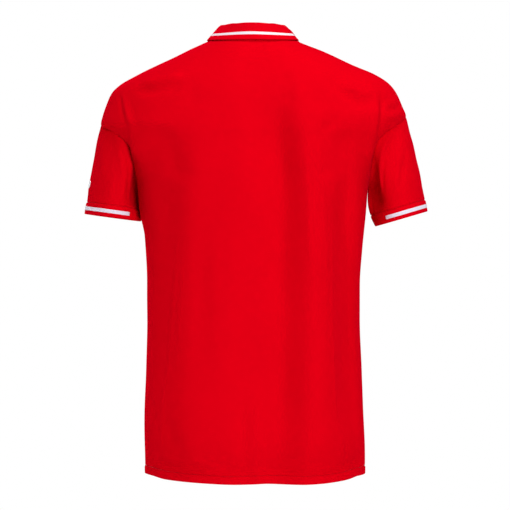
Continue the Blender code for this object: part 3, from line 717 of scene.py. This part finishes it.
def collar_grid():
    """Grid [row from the seam to the free edge][column along the neckline]."""
    line = neckline()
    lengths = running_length(line)
    normals = body_normal(line)
    outwards = unit(np.cross(np.gradient(line, axis=0), normals))
    outwards *= np.sign(outwards[len(line) // 2, 1])
    columns = []
    for seam, normal, outward, length in zip(line, normals, outwards, lengths):
        place = 1 - abs(2 * length / lengths[-1] - 1)
        stand, rise, reach, lift, bow = (float(smooth_read(COLLAR_STATIONS, column, place))
                                         for column in Station._fields[1:])
        first, last = COLLAR_UPRIGHT
        upright = float(smooth_step((place - first) / (last - first)))
        level_out = unit(outward * np.array([1, 1, 0]))
        out_way = unit(outward * (1 - upright) + level_out * upright)
        up_way = unit(normal * (1 - upright) + np.array([0, 0, 1.0]) * upright)
        rise = math.radians(rise)
        way = unit(math.cos(rise) * out_way + math.sin(rise) * up_way)
        clear = (COLLAR_WALL / 2 + COLLAR_LIFT) * (1 - upright)
        foot = seam - way * COLLAR_LAP + normal * clear
        top = foot + way * stand
        edge = onto_body(seam + outward * reach)
        edge = edge + body_normal(edge) * lift
        down = unit(edge - top)
        turn = down - way * (down @ way)
        radius = min(ROLL_RADIUS, ROLL_SHARE * stand)
        turn = unit(turn) * radius * min(1, 1.5 * np.linalg.norm(turn))
        shoulder = top + turn + down * radius * 0.4
        points = [foot, foot + way * (stand - radius) * 0.5, foot + way * (stand - radius),
                  top - way * radius * 0.25 + turn * 0.35, shoulder]
        for share in FALL_SHARES:
            out = normal * bow * 4 * share * (1 - share)
            points.append(shoulder + (edge - shoulder) * share + out)
        curve = rounded_path(points, 12)
        whole = running_length(curve)[-1]
        inside = np.linspace(0, whole - EDGE_ROUND[-1], COLLAR_STEPS + 1)
        places = np.concatenate([inside, whole - np.array(EDGE_ROUND[-2::-1])])
        columns.append(points_at(curve, places))
    return np.stack(columns, axis=1)


# ---- shells ----
def from_edges(grid, edges):
    """Each point's distance to the nearest of a grid's given edges, along the cloth."""
    up, along = running_length(grid), running_length(grid, 1)
    found = {"low": up, "high": up[-1:] - up, "first": along, "last": along[:, -1:] - along}
    return np.minimum.reduce([found[edge] for edge in edges])


def rounding(away, thickness):
    """How far each face draws in near an edge, so that the edge is round."""
    radius = ROUND_SHARE * thickness
    inside = radius - np.minimum(away, radius)
    return radius - np.sqrt(np.maximum(radius ** 2 - inside ** 2, 0))


def cloth_map(grid):
    """Lengths across and up the cloth for each point, in metres."""
    across = running_length(grid, 1)
    across -= across[:, grid.shape[1] // 2][:, None]
    up = running_length(grid).mean(axis=1)[:, None]
    return np.stack(np.broadcast_arrays(across, up), axis=-1) * MM


def put_in_scene(name, data):
    made = bpy.data.objects.new(name, data)
    bpy.context.scene.collection.objects.link(made)
    return made


def smooth_mesh(name, points, faces, finish):
    """A mesh of one finish, shaded smooth, from points in millimetres."""
    mesh = bpy.data.meshes.new(name)
    mesh.from_pydata((points * MM).tolist(), [], faces)
    mesh.materials.append(finish)
    mesh.shade_smooth()
    return mesh


def shell(name, outer, inner, chart, ring, finish):
    """One closed object between two grids; a ring's columns join up. The chart is its UV map."""
    rows, columns = outer.shape[:2]
    index = np.arange(rows * columns).reshape(rows, columns)
    if ring:
        index = np.hstack([index, index[:, :1]])
        chart = np.hstack([chart, 2 * chart[:, -1:] - chart[:, -2:-1]])

    def quads(a, b, c, d):
        return np.stack([a, b, c, d], axis=-1).reshape(-1, 4)

    def all_faces(near, far):
        found = [quads(near[:-1, :-1], near[:-1, 1:], near[1:, 1:], near[1:, :-1]),
                 quads(far[:-1, :-1], far[1:, :-1], far[1:, 1:], far[:-1, 1:])]
        rims = [(near[0], far[0]), (far[-1], near[-1])]
        if not ring:
            rims += [(far[:, 0], near[:, 0]), (near[:, -1], far[:, -1])]
        found += [quads(low[:-1], high[:-1], high[1:], low[1:]) for low, high in rims]
        return np.concatenate(found)

    faces = all_faces(index, index + rows * columns)
    place = np.arange(index.size).reshape(index.shape)
    spots = all_faces(place, place).ravel()
    points = np.concatenate([outer.reshape(-1, 3), inner.reshape(-1, 3)])
    mesh = smooth_mesh(name, points, faces.tolist(), finish)
    layer = mesh.uv_layers.new(name="cloth")
    layer.data.foreach_set("uv", chart.reshape(-1, 2)[spots].ravel())
    if signed_volume(points, faces) < 0:
        mesh.flip_normals()
    return put_in_scene(name, mesh)


def signed_volume(points, faces):
    a, b, c, d = (points[faces[:, k]] for k in range(4))
    return np.sum(a * np.cross(b, c)) + np.sum(a * np.cross(c, d))


# ---- what happens at edges ----
def edge_lines(grid, edges):
    """The grid with extra lines close to the given edges, where a seam bends the cloth."""
    for edge in edges:
        axis, way = EDGES[edge]
        grid = np.moveaxis(grid, axis, 0)[::way]
        extra = [grid[-2] + (grid[-1] - grid[-2]) * share for share in EDGE_SHARES]
        grid = np.concatenate([grid[:-1], extra, grid[-1:]])
        grid = np.moveaxis(grid[::way], 0, axis)
    return grid


def drawn_back(grid, edges):
    """The grid with seam edges drawn back from their neighbours by half the gap."""
    drawn = grid.copy()
    for edge in edges:
        axis, way = EDGES[edge]
        line, inside = (np.moveaxis(grid, axis, 0)[::way][row] for row in (-1, -2))
        np.moveaxis(drawn, axis, 0)[::way][-1] += unit(inside - line) * SEAM_GAP / 2
    return drawn


def hem_shape(height, stitch, step):
    """How far a hem's outer face stands out, and its wall, at heights above its edge."""
    doubled = 1 - smooth_step((height - step[0]) / (step[1] - step[0]))
    groove = GROOVE_DEPTH * np.exp(-((height - stitch) / GROOVE_HALF_WIDTH) ** 2)
    wall = WALL + (HEM_WALL - WALL) * doubled
    edge = rounding(height, HEM_WALL + HEM_PROUD)
    return HEM_PROUD * doubled - groove - edge, wall - edge


def dip_depth(dip, height):
    """How deep a level dip presses the cloth in, at heights above the hem's edge."""
    width = np.where(height < dip.height, dip.below, dip.above)
    return dip.depth * np.exp(-((height - dip.height) / width) ** 2)


def blended(normal, sum_at_seam, away):
    """Normals that turn towards the seam's shared one near it."""
    weight = np.exp(-(away / NORMAL_BLEND) ** 2)[..., None]
    return unit(normal * (1 - weight) + unit(sum_at_seam) * weight)


def two_faces(grid, sewn, normal, press, height, stitch, step):
    """Outer and inner face of a sewn and hemmed piece whose cloth is pressed in as given."""
    away = from_edges(grid, sewn)
    out, wall = hem_shape(height, stitch, step)
    sink = SEAM_SINK * np.exp(-(away / SEAM_REACH) ** 2)
    allowance = ALLOWANCE_WALL * smooth_step((ALLOWANCE_WIDTH - away) / ALLOWANCE_END)
    base = drawn_back(grid, sewn)
    return (base + normal * (out - press - sink)[..., None],
            base - normal * (press + wall + allowance)[..., None])


# ---- pieces ----
def make_panel(name, sleeve_edges, finish, shaded_thread):
    """Back or front: its folds, creases, seams and turned-up hem. Gives it and its stitches."""
    sewn = ("high", "first", "last")
    form = edge_lines(panel_grid(name), sewn)
    normal = body_normal(form)
    seam_away = from_edges(form, sewn)
    for column, edge in ((0, "first"), (-1, "last")):
        points, ways = sleeve_edges[0 if column else 1]
        for row, spot in enumerate(form[:, column]):
            apart = np.linalg.norm(points - spot, axis=1)
            if apart.min() < ARMHOLE_STEP:
                away = from_edges(form[row:row + 1], (edge,))[0]
                normal[row] = blended(normal[row], normal[row, column] + ways[apart.argmin()], away)
    height = from_edges(form, ("low",))
    across = cloth_map(form)
    press = fold_depth(form, name) * smooth_step(seam_away / SEAM_FADE)
    press += crease_depth(form[..., [0, 2]], name) * smooth_step(seam_away / CREASE_FADE)
    seed_shift = 0 if name == "back" else 1
    x, z = form[..., 0], form[..., 2]
    press += ripple(PANEL_WAVE, x, z, seed_shift) * smooth_step(seam_away / CREASE_FADE)
    near = np.exp(-(np.abs(height - HEM_STITCH) / PUCKER_REACH) ** 1.5)
    press += near * ripple(PUCKER_WAVE, across[..., 0] / MM, height, seed_shift)
    dips = dip_depth(BLOUSE, height) * (1 + ripple(BLOUSE_WAVE, x, z)) + dip_depth(TUCK_IN, height)
    press += dips * smooth_step(seam_away / SEAM_FADE)
    outer, inner = two_faces(form, sewn, normal, press, height, HEM_STITCH, HEM_STEP)
    stray = smooth_read(HEM_LINE, "rise", x) * np.exp(-(height / HEM_LINE_FADE) ** 2)
    outer[..., 2] += stray
    inner[..., 2] += stray
    side_away = from_edges(form, ("first", "last"))
    inner[..., 1] -= SEAM_LEAN * np.exp(-(side_away / SEAM_LEAN_REACH) ** 2)
    made = shell(name + "_panel", outer, inner, across, False, finish)
    row = HEM_HEIGHTS.index(HEM_STITCH)
    return made, stitch_line(name + "_hem_stitches", outer[row, 3:-3], normal[row, 3:-3], shaded_thread)


def make_sleeve(sleeve, grid, normal, finish, shaded_thread):
    """A sleeve with its creases, seam and hem. Gives it, its stitches and its outer face."""
    grid = edge_lines(grid, ("high",))
    normal = edge_lines(normal, ("high",))
    away = from_edges(grid, ("high",))
    normal = blended(normal, normal[-1] + body_normal(grid[-1]), away)
    height = from_edges(grid, ("low",))
    turn = np.linspace(0, 360, grid.shape[1], endpoint=False)
    turn = np.broadcast_to((turn + 180) % 360 - 180, away.shape)
    across = cloth_map(grid)
    press = crease_depth(np.stack([turn, away], axis=-1), sleeve.name)
    press = (press + ripple(SLEEVE_WAVE, turn, away, sleeve.side)) * smooth_step(away / CREASE_FADE)
    press = press * smooth_step(height / CUFF_FADE)
    outer, inner = two_faces(grid, ("high",), normal, press, height, CUFF_STITCH, CUFF_STEP)
    made = shell("sleeve_" + sleeve.name + "_cloth", outer, inner, across, True, finish)
    row = CUFF_HEIGHTS.index(CUFF_STITCH)
    loop = np.vstack([outer[row], outer[row, :1]])
    ways = np.vstack([normal[row], normal[row, :1]])
    stitches = stitch_line("cuff_stitches_" + sleeve.name, loop, ways, shaded_thread)
    return made, stitches, (outer, normal, height)


def stitch_line(name, path, normals, finish):
    """Short threads end to end along a path, each arched over the cloth."""
    lengths = running_length(path)
    count = int(lengths[-1] / STITCH_PITCH)
    share = np.linspace(-0.5, 0.5, len(THREAD_PROFILE))
    middles = (np.arange(count) + 0.5) * STITCH_PITCH
    places = middles[:, None] + share * STITCH_LENGTH

    def read(values):
        return np.stack([np.interp(places, lengths, values[:, k]) for k in range(3)], axis=-1)

    way = unit(read(normals))
    arch = STITCH_ARCH * (1 - (2 * share[None, :, None]) ** 2)
    centre = read(path) + way * (arch + STITCH_LIFT)
    along = unit(np.gradient(centre, axis=1))
    side = unit(np.cross(along, way))
    around = np.linspace(0, 2 * math.pi, THREAD_SIDES, endpoint=False)
    thick = THREAD_RADIUS * np.array(THREAD_PROFILE)[None, :, None, None]
    rings = (centre[:, :, None] + thick * (np.cos(around)[:, None] * side[:, :, None]
                                           + np.sin(around)[:, None] * way[:, :, None]))
    index = np.arange(rings[..., 0].size).reshape(rings.shape[:3])
    turned = np.roll(index, -1, axis=2)
    faces = np.stack([index[:, :-1], turned[:, :-1], turned[:, 1:], index[:, 1:]], axis=-1)
    faces = faces.reshape(-1, 4).tolist() + index[:, 0, ::-1].tolist() + index[:, -1].tolist()
    mesh = smooth_mesh(name, rings.reshape(-1, 3), faces, finish)
    work = bmesh.new()
    work.from_mesh(mesh)
    bmesh.ops.recalc_face_normals(work, faces=work.faces)
    work.to_mesh(mesh)
    work.free()
    return put_in_scene(name, mesh)


def on_sleeve(face, columns, rises):
    """Points and normals of a sleeve's outer face, at columns round it and heights above its cuff."""
    outer, normal, height = face
    around = outer.shape[1]
    values = np.concatenate([outer, normal], axis=-1)
    columns, rises = np.broadcast_arrays(columns, rises)
    found = np.zeros((*columns.shape, 6))
    for place in np.ndindex(columns.shape):
        first = math.floor(columns[place])
        share = columns[place] - first
        for index, weight in ((first % around, 1 - share), ((first + 1) % around, share)):
            level = height[:, index]
            found[place] += [weight * np.interp(rises[place], level, values[:, index, k])
                             for k in range(6)]
    return found[..., :3], unit(found[..., 3:])


def make_tape(sleeve, face, finish):
    """The white tape, laid on the sleeve's own points."""
    half = int(round(TAPE_HALF_SPAN / 360 * face[0].shape[1]))
    share = np.linspace(0, 1, TAPE_ROWS)[:, None]
    points, ways = on_sleeve(face, np.arange(-half, half + 1), TAPE_EDGE + TAPE_WIDTH * share)
    ends = from_edges(points, ("low", "high", "first", "last"))
    ribs = TAPE_RIB * np.cos(share * TAPE_RIBS * 2 * math.pi)
    base = points + ways * LIFT
    out = TAPE_WALL + ribs - rounding(ends, TAPE_WALL * TRIM_ROUND)
    return shell("tape_" + sleeve.name + "_weave", base + ways * out[..., None], base,
                 cloth_map(points), False, finish)


def make_badge(face, finish):
    """A plain badge with round corners on the left sleeve, wrapped round the outside of the arm."""
    rings = np.linspace(BADGE_EYE, 1, BADGE_RINGS)[:, None]
    angles = np.linspace(0, 2 * math.pi, BADGE_SPOKES, endpoint=False)
    across, up = np.cos(angles), np.sin(angles)
    corners = [np.sign(way) * np.abs(way) ** BADGE_CORNER for way in (across, up)]
    turns, rises = (middle + half * rings * corner
                    for (middle, half), corner in zip((BADGE_TURN, BADGE_HEIGHT), corners))
    grid, ways = on_sleeve(face, turns / 360 * face[0].shape[1], rises)
    place, width, depth = BADGE_GROOVE
    groove = depth * np.exp(-((rings - place) / width) ** 2)
    thick = BADGE_WALL - groove - rounding((1 - rings) * BADGE_HEIGHT[1], BADGE_WALL)
    base = grid + ways * LIFT
    chart = np.stack([across * rings, up * rings], axis=-1)
    return shell("badge_patch", base + ways * thick[..., None], base, chart, True, finish)


def make_collar(finish):
    """The collar strip; its map's second number is the distance from the free edge."""
    grid = collar_grid()
    sides = from_edges(grid, ("first", "last"))
    edge = from_edges(grid, ("high",))
    half = COLLAR_WALL / 2 - rounding(np.minimum(edge, sides), COLLAR_WALL)
    normal = grid_normals(grid, False)
    wave = ripple(COLLAR_WAVE, cloth_map(grid)[..., 0] / MM, edge)
    wave = wave * smooth_step((COLLAR_WAVE_REACH - edge) / COLLAR_WAVE_REACH)
    grid = grid + normal * wave[..., None]
    chart = np.stack([cloth_map(grid)[..., 0], edge * MM], axis=-1)
    return shell("collar_strip", grid + normal * half[..., None], grid - normal * half[..., None],
                 chart, False, finish)


# ---- materials ----
class Nodes:
    """A short way to write a material's node tree."""

    def __init__(self, name):
        self.material = bpy.data.materials.new(name)
        self.material.use_nodes = True
        self.tree = self.material.node_tree
        self.shader = self.tree.nodes["Principled BSDF"]

    def add(self, kind, inputs=(), **settings):
        node = self.tree.nodes.new("ShaderNode" + kind)
        for key, value in settings.items():
            setattr(node, key, value)
        for slot, value in inputs:
            if isinstance(value, bpy.types.NodeSocket):
                self.tree.links.new(value, node.inputs[slot])
            else:
                node.inputs[slot].default_value = value
        return node

    def math(self, operation, *values):
        return self.add("Math", list(enumerate(values)), operation=operation).outputs[0]

    def swing(self, value, height, middle):
        """A value's swing about a half, made another height and put about another middle."""
        return self.math("MULTIPLY_ADD", self.math("SUBTRACT", value, 0.5), height, middle)

    def clamp(self, value):
        return self.add("Clamp", [(0, value)]).outputs[0]

    def noise(self, place, scale, detail=2.0, roughness=0.5):
        node = self.add("TexNoise", [("Vector", place), ("Scale", scale), ("Detail", detail),
                                     ("Roughness", roughness)])
        return node.outputs["Fac"]

    def blend(self, share, first, second):
        node = self.add("Mix", [(0, share), (6, first), (7, second)], data_type="RGBA")
        return node.outputs[2]

    def bump(self, height, distance, strength, under=None):
        inputs = [("Height", height), ("Distance", distance), ("Strength", strength)]
        if under is not None:
            inputs.append(("Normal", under))
        return self.add("Bump", inputs).outputs["Normal"]

    def cloth_place(self):
        """The place on the cloth, and its two lengths."""
        place = self.add("UVMap", uv_map="cloth").outputs["UV"]
        parts = self.add("SeparateXYZ", [(0, place)]).outputs
        return place, parts[0], parts[1]

    def finish(self, colour, roughness, normal, **constants):
        self.tree.links.new(colour, self.shader.inputs["Base Color"])
        self.tree.links.new(roughness, self.shader.inputs["Roughness"])
        self.tree.links.new(normal, self.shader.inputs["Normal"])
        for name, value in constants.items():
            self.shader.inputs[name.replace("_", " ")].default_value = value
        return self.material


def knit(cloth, striped):
    """Knitted cloth: columns of V-shaped loops, mottled a little, with painted shade between the
    loops and its own sheen.
    """
    made = Nodes(cloth.name)
    place, u, v = made.cloth_place()
    half = cloth.wale / 2
    leg = made.math("DIVIDE", made.math("PINGPONG", u, half), half)
    slant = made.math("MULTIPLY_ADD", v, 2 * math.pi / cloth.course,
                      made.math("MULTIPLY", leg, LOOP_SLANT))
    loop = made.math("MULTIPLY_ADD", made.math("SINE", slant), 0.5, 0.5)
    body = made.math("SUBTRACT", 1.0, made.math("POWER", leg, 4.0))
    height = made.math("MULTIPLY", made.math("MULTIPLY_ADD", loop, 0.6, 0.4), body)
    mottle = made.noise(place, MOTTLE_SCALE, 3.0, 0.6)
    cloud = made.noise(place, CLOUD_SCALE, 3.0, 0.55)
    tone_and_shade = made.swing(cloud, CLOUD_TONE, made.swing(mottle, MOTTLE_TONE, 0.5))
    # painted shade: the cloth and its stripe are darker where the loops lie low
    tone_and_shade = made.clamp(made.swing(height, LOOP_SHADE, tone_and_shade))
    colour = made.blend(tone_and_shade, cloth.deep, cloth.bright)
    if striped:
        low, high = STRIPE
        away = made.swing(leg, STRIPE_JAG, v)
        band = made.math("COMPARE", away, (low + high) / 2 * MM, (high - low) / 2 * MM)
        colour = made.blend(band, colour, made.blend(tone_and_shade, STRIPE_DIM, STRIPE_BRIGHT))
    roughness = made.swing(mottle, KNIT_ROUGH_SPAN, cloth.rough)
    soft = made.bump(mottle, 0.0004, 0.25)
    normal = made.bump(height, cloth.relief, 0.55, soft)
    return made.finish(colour, roughness, normal, Specular_IOR_Level=0.0,
                       Sheen_Weight=cloth.sheen, Sheen_Roughness=0.4, Sheen_Tint=KNIT_TINT)


def woven_white():
    """White narrow tape: fine cross threads between the raised ribs, with painted shade where the
    weave lies low.
    """
    made = Nodes("white_tape")
    place, u, v = made.cloth_place()
    across = made.math("SINE", made.math("MULTIPLY", u, 2 * math.pi / TAPE_PITCH))
    along = made.math("SINE", made.math("MULTIPLY", v, 2 * math.pi / (TAPE_PITCH * 1.4)))
    height = made.math("MULTIPLY_ADD", made.math("MULTIPLY", across, along), 0.5, 0.5)
    mottle = made.noise(place, 900.0, 2.0, 0.5)
    # painted shade: the white is darker where the cross threads lie low
    tone_and_shade = made.clamp(made.swing(height, 0.4, mottle))
    colour = made.blend(tone_and_shade, WHITE_DIM, WHITE_BRIGHT)
    roughness = made.math("MULTIPLY_ADD", mottle, 0.15, 0.5)
    normal = made.bump(height, 0.00012, 0.5)
    return made.finish(colour, roughness, normal, Specular_IOR_Level=0.25, Sheen_Weight=0.1,
                       Sheen_Roughness=0.4)


def grained(stuff):
    """Thread, film or paper: fine grain in its colour, roughness and relief."""
    made = Nodes(stuff.name)
    place = made.add("TexCoord").outputs["Object"]
    grain = made.noise(place, stuff.scale, stuff.detail)
    colour = made.blend(grain, stuff.dark, stuff.pale)
    roughness = made.math("MULTIPLY_ADD", grain, stuff.rough_span, stuff.rough)
    normal = made.bump(grain, stuff.relief, stuff.strength)
    return made.finish(colour, roughness, normal, Specular_IOR_Level=stuff.shine)


# ---- studio ----
def area_light(name, spot, size, power):
    light = bpy.data.lights.new(name, "AREA")
    light.shape = "RECTANGLE"
    light.size, light.size_y = size
    light.energy = power
    made = put_in_scene(name, light)
    made.location = spot
    made.rotation_euler = (Vector(AIM) - Vector(spot)).to_track_quat("-Z", "Y").to_euler()


def studio():
    """Camera level with the jersey's middle, soft lights, white surroundings and a floor."""
    scene = bpy.context.scene
    scene.view_settings.view_transform = "Standard"
    camera = bpy.data.cameras.new("camera")
    camera.sensor_width = SENSOR_WIDTH
    camera.lens = SENSOR_WIDTH * CAMERA_AWAY / VIEW_WIDTH
    holder = put_in_scene("camera", camera)
    holder.location = (0, CAMERA_AWAY, CAMERA_HEIGHT)
    holder.rotation_euler = (math.pi / 2, 0, math.pi)
    scene.camera = holder
    world = bpy.data.worlds.new("studio")
    scene.world = world
    world.use_nodes = True
    background = world.node_tree.nodes["Background"]
    background.inputs["Color"].default_value = (1, 1, 1, 1)
    background.inputs["Strength"].default_value = FILL
    for row in LIGHTS:
        area_light(*row)
    bpy.ops.mesh.primitive_cylinder_add(vertices=96, radius=FLOOR_RADIUS, depth=FLOOR_THICKNESS,
                                        location=(0, 0, FLOOR_HEIGHT - FLOOR_THICKNESS / 2))
    floor = bpy.context.object
    floor.name = "floor"
    floor.data.materials.append(grained(FLOOR_PAPER))
    bpy.ops.mesh.primitive_uv_sphere_add(segments=48, ring_count=24, radius=BACKDROP_RADIUS)
    backdrop = bpy.context.object
    backdrop.name = "backdrop"
    glow = bpy.data.materials.new("backdrop_white")
    glow.use_nodes = True
    shader = glow.node_tree.nodes["Principled BSDF"]
    for key, value in (("Base Color", (0, 0, 0, 1)), ("Specular IOR Level", 0),
                       ("Emission Color", (1, 1, 1, 1)), ("Emission Strength", 1.0)):
        shader.inputs[key].default_value = value
    backdrop.data.materials.append(glow)
    backdrop.visible_diffuse = backdrop.visible_glossy = backdrop.visible_shadow = False
    backdrop.visible_transmission = False


# ---- the jersey ----
def dress(piece, node):
    """Hangs a piece on the root body and hides the solid that it stands for, if there is one."""
    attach(piece, "root")
    if node:
        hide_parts(node)


def main():
    red, rib, tape = knit(RED_KNIT, False), knit(RIB_KNIT, True), woven_white()
    shaded_thread, film = grained(SHADED_THREAD), grained(FILM)
    forms = [sleeve_grid(sleeve) for sleeve in SLEEVES]
    sleeves = [(grid, sleeve_normals(grid)) for grid in forms]
    edges = [(grid[-1], normal[-1]) for grid, normal in sleeves]
    for name in ("back", "front"):
        panel, stitches = make_panel(name, edges, red, shaded_thread)
        dress(panel, name)
        dress(stitches, None)
    for sleeve, (grid, normal) in zip(SLEEVES, sleeves):
        cloth, stitches, face = make_sleeve(sleeve, grid, normal, red, shaded_thread)
        strip = make_tape(sleeve, face, tape)
        dress(cloth, "sleeve_" + sleeve.name)
        dress(stitches, None)
        dress(strip, "tape_" + sleeve.name)
        if sleeve.name == "left":
            badge = make_badge(face, film)
            dress(badge, "sleeve_badge")
    collar = make_collar(rib)
    dress(collar, "collar")
    studio()


main()
